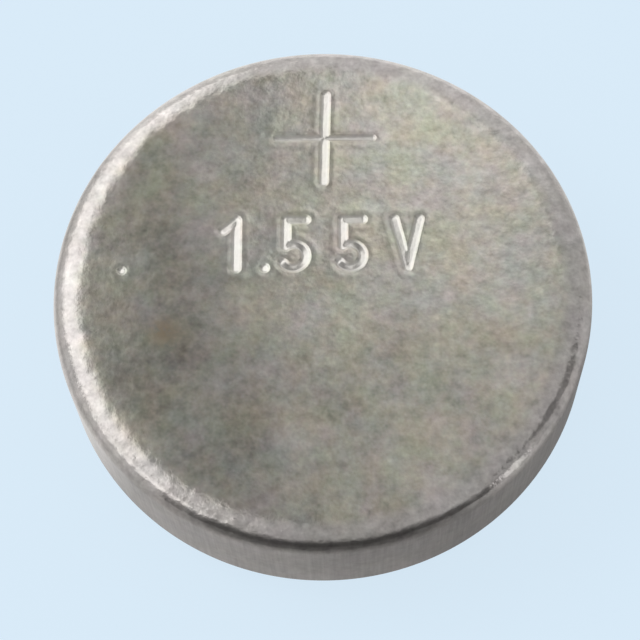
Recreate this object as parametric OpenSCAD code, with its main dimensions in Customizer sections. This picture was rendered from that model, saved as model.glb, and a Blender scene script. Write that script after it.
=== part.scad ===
// Silver oxide button cell, 621 size, lying on its negative contact with the positive face up.
// A drawn steel can is crimped over a nylon gasket, which holds and insulates the negative cap.
// Between them lie the silver oxide pellet, the separator film, the absorbent sheet and the zinc.
// The origin is the middle of the negative contact, +Z points to the positive face, units are mm.

/* [Cell] */
// Outer diameter of the can
cell_d = 6.8; // [6.4:0.05:8]
// Height from the negative contact to the positive face
cell_h = 2.15; // [2:0.05:3.6]

/* [Positive can] */
// Thickness of the can's sheet
can_t = 0.2; // [0.15:0.01:0.24]
// Outer radius where the positive face turns down into the wall
corner_r = 0.25; // [0.2:0.01:0.35]
// Inner radius of the same corner
corner_inner_r = 0.08; // [0.03:0.01:0.15]
// Width of the soft ring that falls away round the flat of the face
roll_w = 0.22; // [0.1:0.02:0.4]
// How far that ring has fallen where the corner starts
roll_drop = 0.02; // [0.01:0.005:0.04]
// Outer radius of the crimped mouth
crimp_r = 0.45; // [0.35:0.01:0.5]
// Angle that the mouth is bent through, in degrees
crimp_angle = 75; // [65:1:85]
// Straight lip after the bend
lip_w = 0.1; // [0.06:0.01:0.16]
// Radius on the two edges of the lip
lip_edge_r = 0.04; // [0.01:0.01:0.07]
// How far the negative contact stands proud of the crimp
contact_stand = 0.25; // [0.1:0.01:0.3]

/* [Stamped marks] */
// Depth of the marks in the positive face
mark_depth = 0.03; // [0.02:0.01:0.08]
// Width of a stamped stroke
stroke_w = 0.14; // [0.08:0.01:0.18]
// Length of the plus sign's bars, over their round ends
plus_size = 1.38; // [0.8:0.02:1.5]
// Distance of the plus sign from the middle of the face
plus_y = 2.06; // [1.8:0.02:2.2]
// Height of the voltage figures
figure_h = 0.8; // [0.6:0.02:1]
// Width of one figure
figure_w = 0.46; // [0.36:0.02:0.5]
// Clear space between two figures
figure_gap = 0.26; // [0.18:0.02:0.32]
// Distance of the figures' foot from the middle of the face
figure_y = 0.18; // [0:0.02:0.5]
// Diameter of the punched dot that stands on the figures' line
dot_d = 0.1; // [0.06:0.01:0.14]
// Distance of that dot to the left of the middle
dot_x = 2.58; // [1.8:0.02:2.7]

/* [Gasket] */
// Thickness of the gasket's wall
gasket_t = 0.25; // [0.18:0.01:0.35]
// Thickness of its foot, under the cap's folded edge
foot_t = 0.15; // [0.1:0.01:0.25]
// How far the foot reaches inside the cap's skirt
foot_reach = 0.08; // [0.04:0.01:0.2]
// Thickness left where the crimped lip squeezes it
pinch_t = 0.15; // [0.12:0.01:0.2]
// How far it covers the contact's wall below the cap's step
mouth_reach = 0.01; // [0.005:0.005:0.05]

/* [Negative cap] */
// Thickness of the cap's sheet
cap_t = 0.15; // [0.1:0.01:0.18]
// Outer radius round the flat of the contact
contact_edge_r = 0.2; // [0.16:0.01:0.26]
// Inner radius of the same bend
contact_edge_inner_r = 0.05; // [0.02:0.01:0.1]
// Step from the skirt in to the contact
step_w = 0.18; // [0.12:0.01:0.24]
// Steepest slope of the step, in degrees from the cell's axis
step_angle = 75; // [60:1:85]
// Slit between the skirt and the edge folded back over it
fold_gap = 0.02; // [0.01:0.01:0.05]

/* [Charge] */
// Thickness of the silver oxide pellet
pellet_h = 0.5; // [0.4:0.01:0.56]
// Thickness of the separator film
film_t = 0.06; // [0.04:0.01:0.12]
// Thickness of the absorbent sheet
absorbent_t = 0.14; // [0.1:0.01:0.2]

/* [Hidden] */
$fn = 96;
arc_steps = 12;    // straight steps in each arc of a section
cut_over = 0.1;    // how far a cutter passes the surface that it opens

can_r = cell_d / 2;
can_inner_r = can_r - can_t;
ceiling_z = cell_h - can_t;

// The face falls away on a large arc, which runs smoothly into the corner's small one.
roll_angle = 2 * atan(roll_drop / roll_w);
roll_r = roll_w / sin(roll_angle);
corner_z = cell_h - roll_drop - corner_r * cos(roll_angle);
flat_r = can_r - corner_r * (1 - sin(roll_angle)) - roll_w;

// The crimp bends about one centre, and its lip runs straight on from the bend.
crimp_axis = [can_r - crimp_r, contact_stand + crimp_r * sin(crimp_angle) + lip_w * cos(crimp_angle)];
lip_run = [-sin(crimp_angle), -cos(crimp_angle)];
lip_normal = [cos(crimp_angle), -sin(crimp_angle)];
lip_outer = crimp_axis + crimp_r * lip_normal + lip_w * lip_run;
lip_inner = crimp_axis + (crimp_r - can_t) * lip_normal + lip_w * lip_run;
lip_release = lip_inner - lip_edge_r * lip_run;    // where the gasket leaves the lip

// The charge is stacked down from the can's floor, and the gasket's foot presses on it.
pellet_z = ceiling_z - pellet_h;
film_z = pellet_z - film_t;
absorbent_z = film_z - absorbent_t;
foot_z = absorbent_z - foot_t;

// The cap's skirt is folded back on itself, inside the gasket's wall.
fold_outer_r = can_inner_r - gasket_t;
skirt_outer_r = fold_outer_r - cap_t - fold_gap;
skirt_inner_r = skirt_outer_r - cap_t;
fold_r = cap_t + fold_gap / 2;
fold_axis = [skirt_outer_r + fold_gap / 2, foot_z - fold_r];
fold_end_axis = [fold_outer_r - cap_t / 2, lip_inner.y + pinch_t + cap_t / 2];
foot_inner_r = skirt_inner_r - foot_reach;

// The step joins the contact's wall to the skirt with two equal bends of the sheet's middle.
contact_r = skirt_outer_r - step_w;
step_r = step_w / (2 * (1 - cos(step_angle)));
step_top = [skirt_outer_r - step_r - cap_t / 2, fold_end_axis.y];
step_low = [contact_r + step_r - cap_t / 2, step_top.y - 2 * step_r * sin(step_angle)];
gasket_mouth = [contact_r, step_low.y - mouth_reach];

// Points along an arc, from angle a0 to angle a1.
function arc(centre, r, a0, a1) =
    [for (i = [0 : arc_steps]) let (a = a0 + (a1 - a0) * i / arc_steps) centre + r * [cos(a), sin(a)]];

// Points along the arc that leaves p in the direction u and ends at q.
function tangent_arc(p, u, q) =
    let (n = [-u.y, u.x], c = q - p, turn = 2 * atan2(c * n, c * u), r = (c * c) / (2 * (c * n)))
    [for (i = [0 : arc_steps]) let (a = turn * i / arc_steps) p + r * (u * sin(a) + n * (1 - cos(a)))];

// Half section of the can's outer surface, from the middle of the face to the lip.
function can_outside() = concat(
    [[0, cell_h]],
    arc([flat_r, cell_h - roll_r], roll_r, 90, 90 - roll_angle),
    arc([can_r - corner_r, corner_z], corner_r, 90 - roll_angle, 0),
    arc(crimp_axis, crimp_r, 0, -crimp_angle),
    arc(lip_outer - lip_edge_r * (lip_normal + lip_run), lip_edge_r, -crimp_angle, -crimp_angle - 90));

// Half section of the corner between the can's wall and its floor.
function can_inner_corner() =
    arc([can_inner_r - corner_inner_r, ceiling_z - corner_inner_r], corner_inner_r, 0, 90);

// Half section of the lip's inner edge.
function lip_inner_edge() =
    arc(lip_inner + lip_edge_r * (lip_normal - lip_run), lip_edge_r, -crimp_angle - 90, -crimp_angle - 180);

// Half section of the cap's step outside, from the contact's wall up to the skirt.
function step_outside() = concat(
    arc(step_low, step_r - cap_t / 2, 180, 180 - step_angle),
    arc(step_top, step_r + cap_t / 2, -step_angle, 0));

// Half section of the cap's folded edge, from its lower end up to the top of the fold.
function fold_outside() = concat(
    arc(fold_end_axis, cap_t / 2, -180, 0),
    arc(fold_axis, fold_r, 0, 90));

// Half section of the cap's inner surface, from the top of the fold to behind the contact.
function cap_inside() = concat(
    arc(fold_axis, fold_r, 90, 180),
    arc(step_top, step_r - cap_t / 2, 0, -step_angle),
    arc(step_low, step_r + cap_t / 2, 180 - step_angle, 180),
    arc([contact_r - cap_t - contact_edge_inner_r, cap_t + contact_edge_inner_r],
        contact_edge_inner_r, 0, -90),
    [[0, cap_t]]);

// A stamped stroke from p to q, with round ends.
module stroke(p, q) {
    run = q - p;
    translate(p) rotate(atan2(run.y, run.x)) translate([0, -stroke_w / 2]) square([norm(run), stroke_w]);
    translate(p) circle(d = stroke_w);
    translate(q) circle(d = stroke_w);
}

// A stamped bow of middle radius r, turned anticlockwise through the given angle from angle a0.
module bow(centre, r, a0, turn) {
    reach = 2 * r;
    sides = 4;
    step = turn / sides;
    wedge = concat([[0, 0]], [for (i = [0 : sides]) reach * [cos(a0 + i * step), sin(a0 + i * step)]]);
    translate(centre) {
        intersection() {
            difference() {
                circle(r = r + stroke_w / 2);
                circle(r = r - stroke_w / 2);
            }
            polygon(wedge);
        }
        for (a = [a0, a0 + turn]) translate(r * [cos(a), sin(a)]) circle(d = stroke_w);
    }
}

// The plus sign that marks the positive side.
module plus_mark() {
    reach = (plus_size - stroke_w) / 2;
    stroke([-reach, 0], [reach, 0]);
    stroke([0, -reach], [0, reach]);
}

// The figure one, with a short flag, standing on y = 0 like the rest.
module figure_one() {
    foot = [figure_w / 2, stroke_w / 2];
    top = [foot.x, figure_h - stroke_w / 2];
    flag_share = 0.37;    // of the figure's width, and of half its height
    flag = -flag_share * [figure_w, figure_h / 2];
    stroke(foot, top);
    stroke(top, top + flag);
}

// The figure five, whose bowl is a round bow hung from a short upright.
module figure_five() {
    bowl_r = (figure_w - stroke_w) / 2;
    bowl = [figure_w / 2, stroke_w / 2 + bowl_r];
    bowl_tail = -145;
    bowl_neck = 125;
    neck = bowl + bowl_r * [cos(bowl_neck), sin(bowl_neck)];
    shoulder = [neck.x, figure_h - stroke_w / 2];
    bow(bowl, bowl_r, bowl_tail, bowl_neck - bowl_tail);
    stroke(neck, shoulder);
    stroke(shoulder, [figure_w - stroke_w / 2, shoulder.y]);
}

// The decimal point.
module point() {
    translate([stroke_w / 2, stroke_w / 2]) circle(d = stroke_w);
}

// The letter V of the unit.
module unit_v() {
    foot = [figure_w / 2, stroke_w / 2];
    arm = [figure_w - stroke_w, 2 * figure_h - 2 * stroke_w] / 2;
    stroke(foot, foot + arm);
    stroke(foot, foot + [-arm.x, arm.y]);
}

// The cell's voltage, 1.55 V, centred across the face.
module voltage_mark() {
    pitch = figure_w + figure_gap;
    point_x = figure_w + (figure_gap - stroke_w) / 2;
    row_w = 4 * figure_w + 3 * figure_gap;
    translate([-row_w / 2, figure_y]) {
        figure_one();
        translate([point_x, 0]) point();
        for (i = [1, 2]) translate([i * pitch, 0]) figure_five();
        translate([3 * pitch, 0]) unit_v();
    }
}

// The punched dot to the left of the figures.
module dot_mark() {
    translate([-dot_x, figure_y + dot_d / 2]) circle(d = dot_d);
}

// The drawn steel can, whose floor is the positive face and whose mouth is crimped inwards.
module positive_can() {
    color("silver") difference() {
        rotate_extrude() polygon(concat(
            can_outside(),
            lip_inner_edge(),
            arc(crimp_axis, crimp_r - can_t, -crimp_angle, 0),
            can_inner_corner(),
            [[0, ceiling_z]]));
        translate([0, 0, cell_h - mark_depth]) linear_extrude(mark_depth + cut_over) {
            translate([0, plus_y]) plus_mark();
            voltage_mark();
            dot_mark();
        }
    }
}

// The stepped cap, whose flat is the negative contact and whose edge is folded back on itself.
module negative_cap() {
    color("lightgray") rotate_extrude() polygon(concat(
        [[0, 0]],
        arc([contact_r - contact_edge_r, contact_edge_r], contact_edge_r, -90, 0),
        step_outside(),
        [[skirt_outer_r, fold_end_axis.y]],
        arc(fold_axis, fold_gap / 2, 180, 0),
        fold_outside(),
        cap_inside()));
}

// The nylon ring, moulded with an L section and bent over the fold by the crimp.
module gasket() {
    color("ivory") rotate_extrude() polygon(concat(
        [[foot_inner_r, absorbent_z], [can_inner_r, absorbent_z]],
        arc(crimp_axis, crimp_r - can_t, 0, -crimp_angle),
        tangent_arc(lip_release, lip_run, gasket_mouth),
        step_outside(),
        fold_outside(),
        [[foot_inner_r, foot_z]]));
}

// The pressed silver oxide pellet, which fills the can's floor from wall to wall.
module cathode_pellet() {
    color("dimgray") rotate_extrude() polygon(concat(
        [[0, pellet_z], [can_inner_r, pellet_z]],
        can_inner_corner(),
        [[0, ceiling_z]]));
}

// A punched disc that lies across the can's bore.
module disc(z, thickness) {
    translate([0, 0, z]) cylinder(r = can_inner_r, h = thickness);
}

// The cellophane film, which keeps the silver from the zinc.
module separator_film() {
    color("wheat") disc(film_z, film_t);
}

// The fleece that holds the electrolyte.
module absorbent_sheet() {
    color("white") disc(absorbent_z, absorbent_t);
}

// The gelled zinc powder, which fills the cap up to the absorbent sheet.
module zinc_anode() {
    color("slategray") rotate_extrude() polygon(concat(
        [[0, absorbent_z], [foot_inner_r, absorbent_z], [foot_inner_r, foot_z]],
        cap_inside()));
}

positive_can();
negative_cap();
gasket();
cathode_pellet();
separator_film();
absorbent_sheet();
zinc_anode();
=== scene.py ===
# %% [markdown]
# # A silver oxide button cell
# The cell is a few millimetres of drawn, crimped and plated steel, seen from above with its
# positive face up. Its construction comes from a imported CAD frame. This lesson gives it the
# looks: finely turned sheet metal, stamped marks with soft walls, dull nickel and natural nylon.

# %% Load the frame
from math import atan, cos, degrees, pi, radians, sin

import bmesh
import bpy
import numpy as np
from mathutils import Matrix, Vector
from mathutils.geometry import delaunay_2d_cdt


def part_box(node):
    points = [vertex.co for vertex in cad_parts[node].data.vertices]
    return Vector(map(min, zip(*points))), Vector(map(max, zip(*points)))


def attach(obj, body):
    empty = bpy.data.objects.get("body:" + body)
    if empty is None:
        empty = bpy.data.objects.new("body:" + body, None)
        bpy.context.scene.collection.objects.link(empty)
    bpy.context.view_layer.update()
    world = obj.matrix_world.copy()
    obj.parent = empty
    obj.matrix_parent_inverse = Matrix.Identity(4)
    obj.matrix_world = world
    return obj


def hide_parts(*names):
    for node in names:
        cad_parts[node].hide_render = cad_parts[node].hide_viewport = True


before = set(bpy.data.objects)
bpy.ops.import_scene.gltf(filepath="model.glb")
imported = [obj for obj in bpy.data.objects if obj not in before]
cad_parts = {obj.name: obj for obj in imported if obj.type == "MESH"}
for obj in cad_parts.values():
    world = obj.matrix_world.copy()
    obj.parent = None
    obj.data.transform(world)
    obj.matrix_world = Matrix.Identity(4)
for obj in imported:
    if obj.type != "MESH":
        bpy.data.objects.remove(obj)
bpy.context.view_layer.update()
scene = bpy.context.scene
MM = 0.001

# %% [markdown]
# ## Sizes
# The frame's boxes give the sizes that the pieces share. What a box can't tell, such as the
# radius of a bend, is named here in millimetres. All sections are worked out in millimetres
# and turned into metres only when a mesh is made.

# %% Sizes from the frame
def box_mm(node):
    low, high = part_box(node)
    return low / MM, high / MM

can_low, can_high = box_mm("positive_can")
cap_high = box_mm("negative_cap")[1]
gasket_high = box_mm("gasket")[1]
can_r = can_high.x
cell_h = can_high.z
crimp_z = can_low.z
can_inner_r = gasket_high.x
can_t = can_r - can_inner_r
ceiling_z = box_mm("cathode_pellet")[1].z
fold_outer_r = cap_high.x
foot_z = cap_high.z
absorbent_z = gasket_high.z
print(f"can {2 * can_r:.2f} x {cell_h:.2f}, sheet {can_t:.2f}, cap skirt {2 * fold_outer_r:.2f}")

# %% Sizes of the can's bends
corner_r = 0.25
corner_inner_r = 0.08
roll_w = 0.22
roll_drop = 0.02
crimp_r = 0.45
crimp_angle = radians(75)
lip_w = 0.1
lip_edge_r = 0.04

roll_angle = 2 * atan(roll_drop / roll_w)
roll_r = roll_w / sin(roll_angle)
corner_z = cell_h - roll_drop - corner_r * cos(roll_angle)
flat_r = can_r - corner_r * (1 - sin(roll_angle)) - roll_w
print(f"flat of the face {2 * flat_r:.2f}, roll falls away at {degrees(roll_angle):.1f} degrees")

# %% Sizes of the cap and the gasket
cap_t = 0.15
contact_edge_r = 0.2
contact_edge_inner_r = 0.05
step_w = 0.18
step_angle = radians(75)
fold_gap = 0.02
foot_reach = 0.08
pinch_t = 0.15
mouth_reach = 0.01
plain_turns = 256
print(f"cap sheet {cap_t:.2f}, gasket pinched to {pinch_t:.2f}")

# %% [markdown]
# ## Turned sections
# The can, the cap and the gasket are all round, so each is a half section turned about the
# axis. A Screw modifier could do that, but a section written as points and arcs is easier to
# check, and the face's stamped marks have to join it without a seam.

# %% Arcs and lathe
def arc(centre, r, a0, a1, step=4):
    """Points along an arc, from angle a0 to a1 in radians, one about every step degrees."""
    n = max(2, round(abs(degrees(a1 - a0)) / step))
    angles = np.linspace(a0, a1, n + 1)
    return [(centre[0] + r * cos(a), centre[1] + r * sin(a)) for a in angles]

def turn(section, turns):
    """Points and faces of a section of (r, z) points, turned about the Z axis."""
    points, faces, rings = [], [], []
    angles = np.linspace(0, 2 * pi, turns, endpoint=False)
    for r, z in section:
        start = len(points)
        if r < 1e-9:
            points.append((0, 0, z))
            rings.append([start] * turns)
        else:
            points += [(r * cos(a), r * sin(a), z) for a in angles]
            rings.append(list(range(start, start + turns)))
    for low, high in zip(rings, rings[1:]):
        for i in range(turns):
            j = (i + 1) % turns
            corners = dict.fromkeys((low[i], low[j], high[j], high[i]))
            if len(corners) > 2:
                faces.append(tuple(corners))
    return points, faces

# %% Make an object from points in millimetres
def make_piece(name, points, faces, sharp_from=50):
    """A closed mesh on the cell's body, shaded smooth except where edges are sharper than that."""
    mesh = bpy.data.meshes.new(name)
    mesh.from_pydata([Vector(p) * MM for p in points], [], faces)
    bm = bmesh.new()
    bm.from_mesh(mesh)
    bmesh.ops.remove_doubles(bm, verts=bm.verts, dist=1e-5 * MM)
    bmesh.ops.recalc_face_normals(bm, faces=bm.faces)
    bm.to_mesh(mesh)
    bm.free()
    mesh.shade_smooth()
    mesh.set_sharp_from_angle(angle=radians(sharp_from))
    piece = bpy.data.objects.new(name, mesh)
    scene.collection.objects.link(piece)
    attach(piece, "root")
    print(f"{name}: {len(mesh.polygons)} faces")
    return piece

# %% [markdown]
# ## The stamped marks
# The plus sign and the voltage are struck into the face by a punch with blunt, rounded edges.
# Cutting them with booleans would leave sharp walls. Instead, every point of the face asks how
# far it is from the nearest stroke's middle line, and sinks by a smooth curve of that distance.

# %% Sizes of the marks
mark_depth = 0.03
floor_depth = 0.6 * mark_depth
stroke_w = 0.14
bar_w = 0.1
plus_size = 1.38
plus_x = 0.04
plus_y = 2.06
plus_lean = radians(1.5)
figure_h = 0.8
figure_w = 0.46
figure_gap = 0.26
figure_y = 0.18
flag_w = 0.37 * figure_w
flag_drop = 0.185 * figure_h
dot_d = 0.12
dot_x = -2.52
dot_y = 0.23
print(f"strokes {stroke_w:.2f} wide, plus sign {plus_size:.2f}, figures {figure_h:.2f} high")

# %% How far points are from a stroke
def from_line(points, a, b):
    """Vector from the nearest point of a line to each point."""
    run = np.subtract(b, a)
    along = np.clip((points - a) @ run / max(run @ run, 1e-12), 0, 1)
    return points - a - along[:, None] * run

def from_bow(points, centre, r, a0, turned):
    """The same from a bow that turns anticlockwise from angle a0, in degrees."""
    d = points - centre
    angle = (np.degrees(np.arctan2(d[:, 1], d[:, 0])) - a0) % 360
    ends = [np.add(centre, (r * cos(radians(a)), r * sin(radians(a)))) for a in (a0, a0 + turned)]
    to_ends = [points - e for e in ends]
    nearer = np.linalg.norm(to_ends[0], axis=1) < np.linalg.norm(to_ends[1], axis=1)
    to_end = np.where(nearer[:, None], *to_ends)
    on_bow = d * (1 - r / np.maximum(np.linalg.norm(d, axis=1), 1e-9))[:, None]
    return np.where((angle <= turned)[:, None], on_bow, to_end)

# %% The plus sign and the figures as strokes
half_stroke = stroke_w / 2
figure_top = figure_h - half_stroke

def plus_strokes():
    """The level bar, and the upright, which leans a little to the right."""
    reach = (plus_size - stroke_w) / 2
    lean = reach * sin(plus_lean)
    return [("line", (plus_x - reach, plus_y), (plus_x + reach, plus_y)),
            ("line", (plus_x - lean, plus_y - reach), (plus_x + lean, plus_y + reach))]

def one_strokes(x):
    top = (x + figure_w / 2, figure_top)
    flag = (top[0] - flag_w, top[1] - flag_drop)
    return [("line", (top[0], half_stroke), top), ("line", top, flag)]

def five_strokes(x):
    r = (figure_w - stroke_w) / 2
    centre = (x + figure_w / 2, half_stroke + r)
    tail, neck = -145, 125
    shoulder_x = centre[0] + r * cos(radians(neck))
    return [("bow", centre, r, tail, neck - tail),
            ("line", (shoulder_x, centre[1] + r * sin(radians(neck))), (shoulder_x, figure_top)),
            ("line", (shoulder_x, figure_top), (x + figure_w - half_stroke, figure_top))]

def unit_strokes(x):
    foot = (x + figure_w / 2, half_stroke)
    return [("line", foot, (x + half_stroke, figure_top)),
            ("line", foot, (x + figure_w - half_stroke, figure_top))]

def point_stroke(x):
    return [("line", (x, half_stroke), (x, half_stroke))]

# %% Set the marks out on the face
pitch = figure_w + figure_gap
row_x = -(4 * figure_w + 3 * figure_gap) / 2
row = (one_strokes(row_x) + point_stroke(row_x + figure_w + figure_gap / 2)
       + five_strokes(row_x + pitch) + five_strokes(row_x + 2 * pitch)
       + unit_strokes(row_x + 3 * pitch))

blend_w = 0.01

def from_strokes(points):
    """Distance from the nearest stroke, and the vector from it, blended where strokes join."""
    ways = [from_line(points, *s[1:]) for s in plus_strokes()]
    on_row = points - (0, figure_y)
    ways += [(from_bow if kind == "bow" else from_line)(on_row, *stroke) for kind, *stroke in row]
    dot = (dot_x, dot_y)
    ways.append(from_line(points, dot, dot))
    distances = np.linalg.norm(ways, axis=2)
    distances[0] += (stroke_w - bar_w) / 2
    distances[-1] += (stroke_w - dot_d) / 2
    nearest = distances.min(axis=0)
    shares = np.exp((nearest - distances) / blend_w)[:, :, None]
    return nearest, (shares * ways).sum(axis=0) / shares.sum(axis=0)

def stroke_distance(points):
    return from_strokes(points)[0]

print(len(row) + len(plus_strokes()) + 1, "strokes")

# %% [markdown]
# The upright strokes shine and the level ones stay dull, as if the punch had leaned a little
# when it struck. So the floor of a stroke isn't level here: it climbs to the right, and the
# light does the rest.

# %% How deep the face is
floor_half = 0.24 * stroke_w
wall_half = 0.52 * stroke_w
climb_towards = radians(-15)
climb = Vector((cos(climb_towards), sin(climb_towards)))
climb_slope = 0.17
lip_h = 0.0015
lip_out = 0.9 * stroke_w
lip_half = 0.3 * stroke_w
dish_edge_w = 0.4

def struck(distance):
    """1 on a stroke's floor, 0 on the untouched face, with a smooth wall between."""
    t = np.clip((wall_half - distance) / (wall_half - floor_half), 0, 1)
    return t * t * (3 - 2 * t)

def face_level(xy):
    """Height of the face: a faint dish, the lips raised around the strokes, and the strokes."""
    distance, way = from_strokes(xy)
    t = np.clip((flat_r - np.hypot(xy[:, 0], xy[:, 1])) / dish_edge_w, 0, 1)
    dish = t * t * (3 - 2 * t)
    lip = np.exp(-((distance - lip_out) / lip_half) ** 2)
    depth = floor_depth - climb_slope * (way @ climb)
    return cell_h - lip_h * dish * (1 - lip) - depth * struck(distance)

# %% [markdown]
# ## The face
# The face needs points a hundredth of a millimetre apart along the strokes, and hardly any
# elsewhere. So three grids are laid over it, each kept only where its fineness is needed, and
# a Delaunay triangulation joins them, with the lathe's first ring as the rim.

# %% Points of the face
turns = 384
fine_step, middle_step, wide_step = 0.01, 0.02, 0.12
fine_reach, middle_reach = 0.12, 0.2

def grid(step):
    axis = np.arange(-round(flat_r / step), round(flat_r / step) + 1) * step
    return np.stack(np.meshgrid(axis, axis), -1).reshape(-1, 2)

def grid_between(step, near, far):
    """Grid points at that range of distances from the strokes, and clear of the rim."""
    points = grid(step)
    points = points[np.hypot(points[:, 0], points[:, 1]) < flat_r - step / 2]
    distance = stroke_distance(points)
    return points[(distance >= near) & (distance < far)]

rim_angles = np.linspace(0, 2 * pi, turns, endpoint=False)
rim = flat_r * np.stack([np.cos(rim_angles), np.sin(rim_angles)], -1)
face_points = np.concatenate([rim,
                              grid_between(fine_step, 0, fine_reach),
                              grid_between(middle_step, fine_reach, middle_reach),
                              grid_between(wide_step, middle_reach, np.inf)])
print(len(face_points), "points on the face")

# %% Join them and sink the strokes
joined = delaunay_2d_cdt([Vector(p) for p in face_points], [], [], 0, 1e-9)
face_xy = np.array([tuple(p) for p in joined[0]])
face_mesh = [(x, y, z) for (x, y), z in zip(face_xy, face_level(face_xy))]
face_faces = [tuple(f) for f in joined[2]]
print(len(face_faces), "triangles on the face")

# %% [markdown]
# ## The can
# From the rim of the face the section falls away over the soft roll, turns the corner, runs
# down the wall and bends in over the gasket. Then it comes back along the inside to the
# middle of the can's floor, so that the can is closed sheet metal and not a skin.

# %% Section of the can
crimp_axis = (can_r - crimp_r, crimp_z + crimp_r * sin(crimp_angle) + lip_w * cos(crimp_angle))
lip_run = np.array([-sin(crimp_angle), -cos(crimp_angle)])
lip_normal = np.array([cos(crimp_angle), -sin(crimp_angle)])
lip_outer = crimp_axis + crimp_r * lip_normal + lip_w * lip_run
lip_inner = crimp_axis + (crimp_r - can_t) * lip_normal + lip_w * lip_run
lip_release = lip_inner - lip_edge_r * lip_run
quarter = pi / 2

def can_section():
    lip_edge = lip_outer - lip_edge_r * (lip_normal + lip_run)
    inner_edge = lip_inner + lip_edge_r * (lip_normal - lip_run)
    corner = (can_inner_r - corner_inner_r, ceiling_z - corner_inner_r)
    return (arc((flat_r, cell_h - roll_r), roll_r, quarter, quarter - roll_angle, 0.8)
            + arc((can_r - corner_r, corner_z), corner_r, quarter - roll_angle, 0, 3)
            + arc(crimp_axis, crimp_r, 0, -crimp_angle, 3)
            + arc(lip_edge, lip_edge_r, -crimp_angle, -crimp_angle - quarter, 15)
            + arc(inner_edge, lip_edge_r, -crimp_angle - quarter, -crimp_angle - 2 * quarter, 15)
            + arc(crimp_axis, crimp_r - can_t, -crimp_angle, 0, 8)
            + arc(corner, corner_inner_r, 0, quarter, 15)
            + [(0, ceiling_z)])

print(len(can_section()), "points in the can's section")

# %% Make the can
shell_points, shell_faces = turn(can_section(), turns)
shift = len(face_mesh)
can = make_piece("can_shell", face_mesh + shell_points,
                 face_faces + [tuple(i + shift for i in f) for f in shell_faces])
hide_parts("positive_can")

# %% [markdown]
# A punch burnishes what it strikes, so all the strokes get a paler, smoother metal than the face
# around them. The material will need to know where they are, so how far each point lies in a
# stroke is kept on the mesh as an attribute.

# %% Keep the struck places as an attribute
co = np.empty(len(can.data.vertices) * 3, np.float32)
can.data.vertices.foreach_get("co", co)
co = co.reshape(-1, 3) / MM
on_face = co[:, 2] > cell_h - 1.5 * mark_depth
in_strokes = np.where(on_face, struck(stroke_distance(co[:, :2])), 0)
attribute = can.data.attributes.new("struck", "FLOAT", "POINT")
attribute.data.foreach_set("value", in_strokes.astype(np.float32))
print(int((in_strokes > 0.5).sum()), "points in the strokes")

# %% [markdown]
# ## The cap
# The cap is drawn from thinner sheet. Its flat is the negative contact, a step leads out to
# the skirt, and the skirt's edge is folded back over itself to give the gasket a round foot
# to seal on. Only the contact shows, but the rest is there, as on the real one.

# %% Section of the cap
skirt_outer_r = fold_outer_r - cap_t - fold_gap
fold_r = cap_t + fold_gap / 2
fold_axis = (skirt_outer_r + fold_gap / 2, foot_z - fold_r)
fold_end_axis = (fold_outer_r - cap_t / 2, lip_inner[1] + pinch_t + cap_t / 2)
contact_r = skirt_outer_r - step_w
step_r = step_w / (2 * (1 - cos(step_angle)))
step_top = (skirt_outer_r - step_r - cap_t / 2, fold_end_axis[1])
step_low = (contact_r + step_r - cap_t / 2, step_top[1] - 2 * step_r * sin(step_angle))

def step_outside():
    return (arc(step_low, step_r - cap_t / 2, pi, pi - step_angle, 10)
            + arc(step_top, step_r + cap_t / 2, -step_angle, 0, 10))

def step_inside():
    return (arc(step_top, step_r - cap_t / 2, 0, -step_angle, 10)
            + arc(step_low, step_r + cap_t / 2, pi - step_angle, pi, 10))

def fold_outside():
    return arc(fold_end_axis, cap_t / 2, -pi, 0, 15) + arc(fold_axis, fold_r, 0, quarter, 10)

def cap_section():
    inner_bend = contact_r - cap_t - contact_edge_inner_r
    return ([(0, 0)]
            + arc((contact_r - contact_edge_r, contact_edge_r), contact_edge_r, -quarter, 0, 4)
            + step_outside()
            + [(skirt_outer_r, fold_end_axis[1])] + arc(fold_axis, fold_gap / 2, pi, 0, 30)
            + fold_outside() + arc(fold_axis, fold_r, quarter, pi, 10)
            + step_inside()
            + arc((inner_bend, cap_t + contact_edge_inner_r), contact_edge_inner_r, 0, -quarter, 15)
            + [(0, cap_t)])

print(f"contact {2 * contact_r:.2f} across, step {step_w:.2f} wide")

# %% Make the cap
cap = make_piece("cap_shell", *turn(cap_section(), plain_turns))
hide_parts("negative_cap")

# %% [markdown]
# ## The gasket
# The nylon ring fills what the can and the cap leave between them, so its section is made of
# their own arcs. Where it shows, between the lip and the contact, it bulges in a smooth arc.

# %% Section of the gasket
def leaving_arc(start, direction, end, n=12):
    """Points of the arc that leaves start in that direction and ends at end."""
    side = np.array([-direction[1], direction[0]])
    chord = np.subtract(end, start)
    bend = 2 * np.arctan2(chord @ side, chord @ direction)
    r = (chord @ chord) / (2 * (chord @ side))
    return [tuple(start + r * (direction * sin(a) + side * (1 - cos(a))))
            for a in np.linspace(0, bend, n + 1)]

def gasket_section():
    foot_inner_r = skirt_outer_r - cap_t - foot_reach
    mouth = (contact_r, step_low[1] - mouth_reach)
    return ([(foot_inner_r, absorbent_z), (can_inner_r, absorbent_z)]
            + arc(crimp_axis, crimp_r - can_t, 0, -crimp_angle, 8)
            + leaving_arc(lip_release, lip_run, mouth)
            + step_outside() + fold_outside()
            + [(foot_inner_r, foot_z), (foot_inner_r, absorbent_z)])

# %% Make the gasket
gasket = make_piece("gasket_ring", *turn(gasket_section(), plain_turns))
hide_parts("gasket")

# %% [markdown]
# ## Materials
# Each finish is a small network of nodes. They could be wired by hand in the shader editor, but
# a small class keeps them short and easy to compare. It adds nodes with their settings, lays
# noises whose grain is given as a size in millimetres, and tells places on the cell apart.

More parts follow.
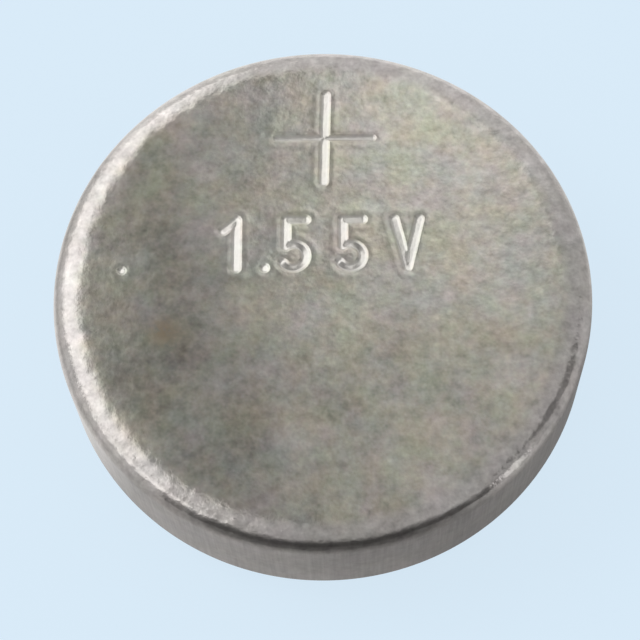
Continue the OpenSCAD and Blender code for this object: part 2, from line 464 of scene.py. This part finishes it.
# %% Node helpers
class Finish:
    """A material with a Principled shader, and short ways to add nodes to it."""

    def __init__(self, name):
        self.material = bpy.data.materials.new(name)
        self.material.use_nodes = True
        self.tree = self.material.node_tree
        self.shader = self.tree.nodes["Principled BSDF"]
        self.place = self.add("ShaderNodeTexCoord").outputs["Object"]

    def add(self, kind, inputs=None, **settings):
        node = self.tree.nodes.new(kind)
        for key, value in settings.items():
            setattr(node, key, value)
        for key, value in (inputs or {}).items():
            self.feed(value, node.inputs[key])
        return node

    def feed(self, value, socket):
        if isinstance(value, bpy.types.NodeSocket):
            self.tree.links.new(value, socket)
        else:
            socket.default_value = value

    def math(self, operation, a, b=0.0, c=0.0):
        return self.add("ShaderNodeMath", {0: a, 1: b, 2: c}, operation=operation).outputs[0]

    def noise(self, grain_mm, detail=2.0, rough=0.5, stretch=(1, 1, 1), seed=0.0):
        """Noise from 0 to 1 whose largest blotches are about grain_mm wide."""
        scale = [s / (grain_mm * MM) for s in stretch]
        where = self.add("ShaderNodeMapping", {"Vector": self.place, "Scale": scale,
                                               "Location": (seed, 1.7 * seed, 0.6 * seed)})
        return self.add("ShaderNodeTexNoise", {"Vector": where.outputs[0], "Scale": 1.0,
                                               "Detail": detail, "Roughness": rough}).outputs["Fac"]

    def ramp(self, value, low, high, to_low=0.0, to_high=1.0):
        """value from low to high, smoothly turned into to_low to to_high, and clamped."""
        return self.add("ShaderNodeMapRange", {"Value": value, "From Min": low, "From Max": high,
                                               "To Min": to_low, "To Max": to_high},
                        interpolation_type="SMOOTHSTEP").outputs["Result"]

    def mix(self, share, a, b, blend="MIX"):
        node = self.add("ShaderNodeMix", data_type="RGBA", blend_type=blend)
        self.feed(share, node.inputs["Factor"])
        for socket, colour in zip([s for s in node.inputs if s.type == "RGBA"], (a, b)):
            self.feed(colour if isinstance(colour, bpy.types.NodeSocket) else (*colour, 1), socket)
        return [s for s in node.outputs if s.type == "RGBA"][0]

    def times(self, a, b):
        return self.mix(1.0, a, b, "MULTIPLY")

    def grey(self, value):
        return self.add("ShaderNodeCombineColor", {0: value, 1: value, 2: value}).outputs[0]

    def around_half(self, noise, share):
        """That share of a noise, taken about its middle, so that it adds nothing on average."""
        return self.math("MULTIPLY", self.math("SUBTRACT", noise, 0.5), share)

    def relief(self, *layers):
        """One bump from layers of (height, how deep it is in millimetres)."""
        total = 0.0
        for height, depth_mm in layers:
            total = self.math("MULTIPLY_ADD", height, depth_mm, total)
        return self.add("ShaderNodeBump", {"Height": total, "Distance": MM, "Strength": 1.0}).outputs[0]

    def haze(self, share, roughness, colour, normal):
        """A second, wider lobe of the same metal, which takes that share of the light."""
        wide = self.add("ShaderNodeBsdfPrincipled", {"Base Color": colour, "Metallic": 1.0,
                                                     "Roughness": roughness, "Normal": normal})
        both = self.add("ShaderNodeMixShader", {0: share, 1: self.shader.outputs[0], 2: wide.outputs[0]})
        self.feed(both.outputs[0], self.tree.nodes["Material Output"].inputs["Surface"])

    def radius(self):
        """Distance from the cell's axis, in millimetres."""
        flat = self.add("ShaderNodeVectorMath", {0: self.place, 1: (1 / MM, 1 / MM, 0)},
                        operation="MULTIPLY").outputs[0]
        return self.add("ShaderNodeVectorMath", {0: flat}, operation="LENGTH").outputs["Value"]

    def along(self, x, y, z=0.0):
        """How far along the direction (x, y, z) a point is, in millimetres."""
        return self.add("ShaderNodeVectorMath", {0: self.place, 1: (x / MM, y / MM, z / MM)},
                        operation="DOT_PRODUCT").outputs["Value"]

    def height(self):
        """Height above the negative contact, in millimetres."""
        return self.along(0, 0, 1)

    def spot(self, x, y, r):
        """1 at a place on the face, in millimetres, and falling smoothly to 0 at that radius."""
        off = self.add("ShaderNodeCombineXYZ", {0: self.math("ADD", self.along(1, 0), -x),
                                                1: self.math("ADD", self.along(0, 1), -y)}).outputs[0]
        away = self.add("ShaderNodeVectorMath", {0: off}, operation="LENGTH").outputs["Value"]
        return self.ramp(away, r, 0.0)

# %% [markdown]
# ### Dull nickel
# The can's plating is satin and has been handled. It is mottled in faint pinks, greens and
# yellows over a fine grit, paler in a broad patch near the middle, with one freckle of rust,
# and darker on the left of the face, which is painted shade. Tumbling among other cells has
# dented the corner a little and scuffed its shoulder, and the wall keeps the fine upright lines
# of the drawing die. A dull metal has a bright core to its reflections and a wide haze around
# it, so the finish is a mix of two lobes.

# %% Nickel of the can
def can_nickel():
    f = Finish("dull_nickel")
    radius, height = f.radius(), f.height()
    on_rim = f.math("MULTIPLY", f.ramp(radius, flat_r - 0.05, flat_r + 0.15),
                    f.ramp(height, corner_z, corner_z + 0.12))
    on_wall = f.ramp(height, corner_z + 0.14, corner_z)
    on_bend = f.math("MAXIMUM", on_wall, f.ramp(radius, flat_r, flat_r + 0.2))
    marks = f.add("ShaderNodeAttribute", attribute_name="struck").outputs["Fac"]
    drawn = f.noise(0.04, 2, stretch=(1, 1, 0.04), seed=31)

    pink = f.ramp(f.noise(0.5, 4, rough=0.7, seed=3), 0.25, 0.75)
    straw = f.ramp(f.noise(0.7, 4, rough=0.7, seed=11), 0.25, 0.75)
    tint = f.times(f.mix(pink, (0.617, 0.643, 0.545), (0.683, 0.605, 0.545)),
                   f.mix(straw, (1.0, 1.0, 1.1), (1.0, 1.0, 0.9)))
    tint = f.mix(f.math("MULTIPLY", on_bend, 0.75), tint, (0.645, 0.61, 0.60))

    cloud = f.noise(1.1, 5, rough=0.75, seed=5)
    grit = f.noise(0.15, 2, rough=0.8, seed=23)
    # Paler in a broad patch near the middle of the face.
    paler_patch = f.spot(-0.3, -0.2, 1.6)
    # Darker on the left of the face, inside the rim: painted shade.
    left_painted_shade = f.math("MULTIPLY", f.ramp(f.along(-1, -0.25), 0.9, 2.1), f.ramp(radius, flat_r, flat_r - 0.1))
    gritty = f.math("SUBTRACT", 1.0, f.math("MULTIPLY", on_wall, 0.6))
    shade = f.math("MULTIPLY_ADD", cloud, 0.8, 0.61)
    shade = f.math("MULTIPLY_ADD", f.around_half(grit, gritty), 0.9, shade)
    shade = f.math("MULTIPLY_ADD", f.around_half(drawn, on_wall), 0.5, shade)
    shade = f.math("MULTIPLY_ADD", paler_patch, 0.2, shade)
    shade = f.math("MULTIPLY_ADD", left_painted_shade, -0.14, shade)
    # The tint times the shade: mottling, grit, drawing lines, the paler patch and the painted shade on the
    # left.
    wear_and_painted_shade = f.times(tint, f.grey(shade))
    rust = f.math("MULTIPLY", f.spot(-1.97, -0.6, 0.32), f.ramp(grit, 0.3, 0.55))
    wear_and_painted_shade = f.mix(f.math("MULTIPLY", rust, 0.75), wear_and_painted_shade, (0.52, 0.40, 0.27))
    metal = f.mix(f.math("MULTIPLY", marks, 0.65), wear_and_painted_shade, (0.78, 0.76, 0.73))
    f.feed(metal, f.shader.inputs["Base Color"])

    dull = f.ramp(cloud, 0.3, 0.7, 0.18, 0.21)
    burnished = f.math("MULTIPLY_ADD", f.math("MAXIMUM", on_rim, marks), -0.02, dull)
    f.feed(f.math("MULTIPLY_ADD", on_wall, 0.04, burnished), f.shader.inputs["Roughness"])

    peel = f.noise(0.15, 3, rough=0.6, seed=47)
    dents = f.noise(0.3, 1, seed=53)
    scuffs = f.noise(0.09, 2, rough=0.4, seed=59)
    shoulder_r = can_r - 0.65 * corner_r
    on_shoulder = f.math("MULTIPLY", f.ramp(radius, shoulder_r - 0.07, shoulder_r - 0.02),
                         f.ramp(radius, shoulder_r + 0.06, shoulder_r + 0.02))
    relief = f.relief((f.noise(0.6, 3, seed=41), 0.002),
                      (peel, 0.003),
                      (f.around_half(peel, on_rim), 0.003),
                      (f.around_half(dents, on_rim), 0.013),
                      (f.around_half(scuffs, on_shoulder), 0.008),
                      (f.around_half(dents, on_wall), 0.004),
                      (f.around_half(drawn, on_wall), 0.002))
    f.feed(relief, f.shader.inputs["Normal"])
    f.shader.inputs["Metallic"].default_value = 1.0
    f.haze(share=0.3, roughness=0.4, colour=metal, normal=relief)
    return f.material

# %% Nickel of the cap
def cap_nickel():
    f = Finish("rolled_nickel")
    tint = f.mix(f.ramp(f.noise(0.7, 3, seed=61), 0.35, 0.65), (0.60, 0.595, 0.57), (0.64, 0.62, 0.59))
    f.feed(tint, f.shader.inputs["Base Color"])
    rolled = f.noise(0.03, 2, stretch=(0.03, 1, 1), seed=64)
    f.feed(f.ramp(rolled, 0.3, 0.7, 0.24, 0.34), f.shader.inputs["Roughness"])
    f.feed(f.relief((rolled, 0.0005), (f.noise(0.5, 2, seed=67), 0.003)), f.shader.inputs["Normal"])
    f.shader.inputs["Metallic"].default_value = 1.0
    return f.material

# %% [markdown]
# ### The other finishes
# Nylon is milky and lets a little light in. The charge is sealed away and seen only when the
# cell is taken apart, but each of its four pieces has its own matter: pressed black powder,
# damp film, matted fibres and grey paste.

# %% Plain finishes with a grain
def grained(name, low, high, grain_mm, rough, depth_mm, stretch=(1, 1, 1), metallic=0.0, seed=0.0):
    f = Finish(name)
    grain = f.noise(grain_mm, 3, stretch=stretch, seed=seed)
    cloud = f.noise(grain_mm * 8, 2, stretch=stretch, seed=seed + 5)
    share = f.math("MULTIPLY_ADD", cloud, 0.5, f.math("MULTIPLY", grain, 0.5))
    f.feed(f.mix(f.ramp(share, 0.35, 0.65), low, high), f.shader.inputs["Base Color"])
    f.feed(f.ramp(grain, 0.3, 0.7, rough - 0.08, rough + 0.08), f.shader.inputs["Roughness"])
    f.feed(f.relief((grain, depth_mm)), f.shader.inputs["Normal"])
    f.shader.inputs["Metallic"].default_value = metallic
    return f

def nylon():
    f = grained("natural_nylon", (0.74, 0.73, 0.66), (0.82, 0.81, 0.75), 0.06, 0.42, 0.001, seed=71)
    f.shader.inputs["Subsurface Weight"].default_value = 0.25
    f.shader.inputs["Subsurface Radius"].default_value = (0.3, 0.28, 0.2)
    f.shader.inputs["Subsurface Scale"].default_value = MM
    return f.material

# %% Give every piece its finish
inner_finishes = {
    "cathode_pellet": grained("pressed_silver_oxide", (0.05, 0.045, 0.04), (0.11, 0.10, 0.09),
                              0.03, 0.75, 0.004, seed=81),
    "separator_film": grained("damp_film", (0.70, 0.62, 0.44), (0.80, 0.73, 0.56),
                              0.2, 0.35, 0.001, seed=84),
    "absorbent_sheet": grained("matted_fleece", (0.74, 0.74, 0.72), (0.90, 0.90, 0.88),
                               0.02, 0.9, 0.006, stretch=(1, 0.15, 1), seed=87),
    "zinc_anode": grained("zinc_paste", (0.22, 0.24, 0.26), (0.46, 0.48, 0.50),
                          0.07, 0.45, 0.01, metallic=0.6, seed=91),
}
for node, finish in inner_finishes.items():
    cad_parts[node].data.materials.clear()
    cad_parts[node].data.materials.append(finish.material)
for piece, material in ((can, can_nickel()), (cap, cap_nickel()), (gasket, nylon())):
    piece.data.materials.append(material)
print(len(bpy.data.materials), "materials")

# %% [markdown]
# ## Floor and light
# Metal shows its surroundings more than itself, so the light is laid out for its reflections.
# The cell lies on a pale floor under a pale sky, with one soft lamp for a faint shadow. Around
# it stands a tent that only reflections see: grey cloth, lighter at the back, with two wide
# softboxes overhead on the left, dark cards overhead and a black cloth in front. A painted mat
# stands in for the floor in the reflections, so that the wall can be lit by itself. Many lamps
# could do the same, but panels of set brightness are simpler to place and leave less noise.

# %% Floor and sky
pale = (0.694, 0.822, 0.930)

def make_ground(name, size, colour, glow, paint=None):
    bpy.ops.mesh.primitive_grid_add(x_subdivisions=4, y_subdivisions=4, size=size)
    ground = bpy.context.object
    ground.name = name
    f = Finish(name)
    f.shader.inputs["Base Color"].default_value = (*colour, 1)
    f.shader.inputs["Roughness"].default_value = 0.9
    f.shader.inputs["Specular IOR Level"].default_value = 0.0
    f.shader.inputs["Emission Color"].default_value = (*pale, 1)
    f.shader.inputs["Emission Strength"].default_value = glow
    if paint:
        paint(f)
    f.material.cycles.emission_sampling = "NONE"
    ground.data.materials.append(f.material)
    return ground

floor = make_ground("floor", 4.0, (0.07, 0.08, 0.085), glow=0.91)
floor.visible_glossy = False

def paint_mat(f):
    """The mat's painted light: bright behind the cell and close on its left, dark in front, and dimmer on
    the right, where the cell's shadow is painted.
    """
    radius = f.radius()
    from_axis = f.math("MAXIMUM", radius, 0.1)
    to_left = f.math("DIVIDE", f.along(-1, 0), from_axis)
    to_back = f.math("DIVIDE", f.along(0, 1), from_axis)
    bright = f.math("MAXIMUM", f.ramp(to_left, 0.74, 1.06, 0, 0.6), f.ramp(to_back, -0.15, 0.45, 0, 0.6))
    near = f.math("ADD", f.ramp(to_left, -0.8, 0.8, 0.22, 0.45), bright)
    far = f.math("ADD", f.ramp(to_back, -0.95, -0.6, 0.1, 0.5), f.ramp(to_back, 0.5, 1.0, 0, 0.45))
    level = f.mix(f.ramp(radius, 3, 10), f.grey(near), f.grey(far))
    f.feed(level, f.shader.inputs["Emission Color"])

mat = make_ground("mat", 0.6, (0, 0, 0), glow=1.0, paint=paint_mat)
mat.visible_camera = mat.visible_diffuse = mat.visible_shadow = False
mat.visible_transmission = mat.visible_volume_scatter = False

scene.world = bpy.data.worlds.new("pale_sky")
scene.world.use_nodes = True
scene.world.node_tree.nodes["Background"].inputs["Color"].default_value = (*pale, 1)
scene.world.node_tree.nodes["Background"].inputs["Strength"].default_value = 1.0

# %% Panels of the tent
def edge(value, low, high, soft):
    """1 between low and high, falling smoothly to 0 over that softness at either end."""
    inside = np.minimum(value - low, high - value) / soft + 0.5
    t = np.clip(inside, 0, 1)
    return t * t * (3 - 2 * t)

def overhead(d, x_low, x_high, y_low, y_high, soft_x, soft_y):
    """A panel of a flat ceiling that is one unit above the cell."""
    up = np.maximum(d[:, 2], 1e-3)
    return edge(d[:, 0] / up, x_low, x_high, soft_x) * edge(d[:, 1] / up, y_low, y_high, soft_y)

def around(d, azimuth, half, low, high, soft):
    """A panel of the tent's wall, in degrees of azimuth from +X and of elevation."""
    off = np.abs((np.degrees(np.arctan2(d[:, 1], d[:, 0])) - azimuth + 180) % 360 - 180)
    elevation = np.degrees(np.arcsin(np.clip(d[:, 2], -1, 1)))
    return edge(off, -half, half, soft) * edge(elevation, low, high, soft)

def tent_panels(d):
    """Each panel's share and brightness in the directions d, from the first hung to the last."""
    return {
        "back left wall": (around(d, 120, 45, -90, 66, 4), 1.15),
        "low back wall": (around(d, 85, 35, -90, 55, 5), 0.7),
        "low left wall": (around(d, 180, 50, -90, 25, 5), 0.65),
        "right wall": (around(d, 0, 60, -90, 66, 35), 0.5),
        "dark card on the right": (overhead(d, 0.6, 2.2, -0.3, 0.3, 0.15, 0.15), 0.15),
        "black card overhead": (overhead(d, -0.3, -0.03, 0.1, 0.75, 0.05, 0.05), 0.0),
        "black cloth in front": (around(d, 280, 60, -90, 35, 25), 0.05),
        "slim panel at the front right": (around(d, -30, 5, 0, 30, 5), 1.15),
        "back softbox": (overhead(d, -1.1, -0.25, -0.05, 1.55, 0.3, 0.6), 1.4),
        "front softbox": (overhead(d, -1.7, -0.6, -0.85, -0.05, 0.6, 0.5), 1.35),
    }

cloth_level = 0.42

def tent_light(d):
    """Brightness of the tent in each direction, with each panel painted over the last."""
    light = np.full(len(d), cloth_level)
    for share, level in tent_panels(d).values():
        light = light * (1 - share) + level * share
    return light

# %% Make the tent
def make_tent(radius):
    points, faces = turn([(radius * cos(a), radius * sin(a)) for a in np.linspace(0, pi / 2, 97)], 256)
    mesh = bpy.data.meshes.new("tent")
    mesh.from_pydata(points, [], faces)
    tent = bpy.data.objects.new("tent", mesh)
    scene.collection.objects.link(tent)
    light = tent_light(np.array(points) / radius)
    colours = mesh.color_attributes.new("light", "FLOAT_COLOR", "POINT")
    colours.data.foreach_set("color", np.stack([light, light, light, np.ones_like(light)], -1).ravel())
    material = bpy.data.materials.new("tent_cloth")
    material.use_nodes = True
    material.cycles.emission_sampling = "NONE"
    tree = material.node_tree
    tree.nodes.clear()
    painted = tree.nodes.new("ShaderNodeVertexColor")
    painted.layer_name = "light"
    glow = tree.nodes.new("ShaderNodeEmission")
    out = tree.nodes.new("ShaderNodeOutputMaterial")
    tree.links.new(painted.outputs["Color"], glow.inputs["Color"])
    tree.links.new(glow.outputs[0], out.inputs["Surface"])
    mesh.materials.append(material)
    print(f"tent from {light.min():.2f} to {light.max():.2f} bright")
    tent.visible_camera = tent.visible_diffuse = tent.visible_shadow = False
    tent.visible_transmission = tent.visible_volume_scatter = False
    return tent

make_tent(0.25)

# %% Lamp for the shadow
def make_lamp(place, size, watts):
    """A soft round lamp that shines from that place at the cell."""
    light = bpy.data.lights.new("soft_lamp", "AREA")
    light.shape = "DISK"
    light.size = size
    light.energy = watts
    holder = bpy.data.objects.new("soft_lamp", light)
    scene.collection.objects.link(holder)
    holder.location = place
    holder.rotation_euler = Vector(place).to_track_quat("Z", "Y").to_euler()
    holder.visible_camera = holder.visible_glossy = False
    return holder

lamp = make_lamp((-0.12, 0.035, 0.14), size=0.1, watts=0.1)
print(f"lamp {lamp.location.length / MM:.0f} mm from the cell")

# %% [markdown]
# ## Camera
# The camera looks down steeply from the front, from a few centimetres away, and is turned a
# little. Its lens is chosen so that the cell fills most of the frame, and the cell's middle is
# set off the frame's centre by a small share of its width.

# %% Make the camera
elevation, azimuth, roll = radians(68.3), radians(3), radians(-3.3)
distance_mm = 27.0
view_w_mm = 8.322
centre = (0.0055, 0.004)

def make_camera():
    data = bpy.data.cameras.new("camera")
    camera = bpy.data.objects.new("camera", data)
    scene.collection.objects.link(camera)
    back = Vector((sin(azimuth) * cos(elevation), -cos(azimuth) * cos(elevation), sin(elevation)))
    target = Vector((0, 0, cell_h / 2)) * MM
    turned = back.to_track_quat("Z", "Y").to_matrix() @ Matrix.Rotation(roll, 3, "Z")
    shift = turned @ Vector((-centre[0], -centre[1], 0)) * view_w_mm * MM
    camera.location = target + back * distance_mm * MM + shift
    camera.rotation_euler = turned.to_euler()
    data.sensor_width = 36.0
    data.lens = data.sensor_width * distance_mm / view_w_mm
    data.clip_start, data.clip_end = 0.001, 10
    scene.camera = camera
    print(f"lens {data.lens:.1f} mm at {distance_mm:.0f} mm")

make_camera()
scene.view_settings.view_transform = "Standard"
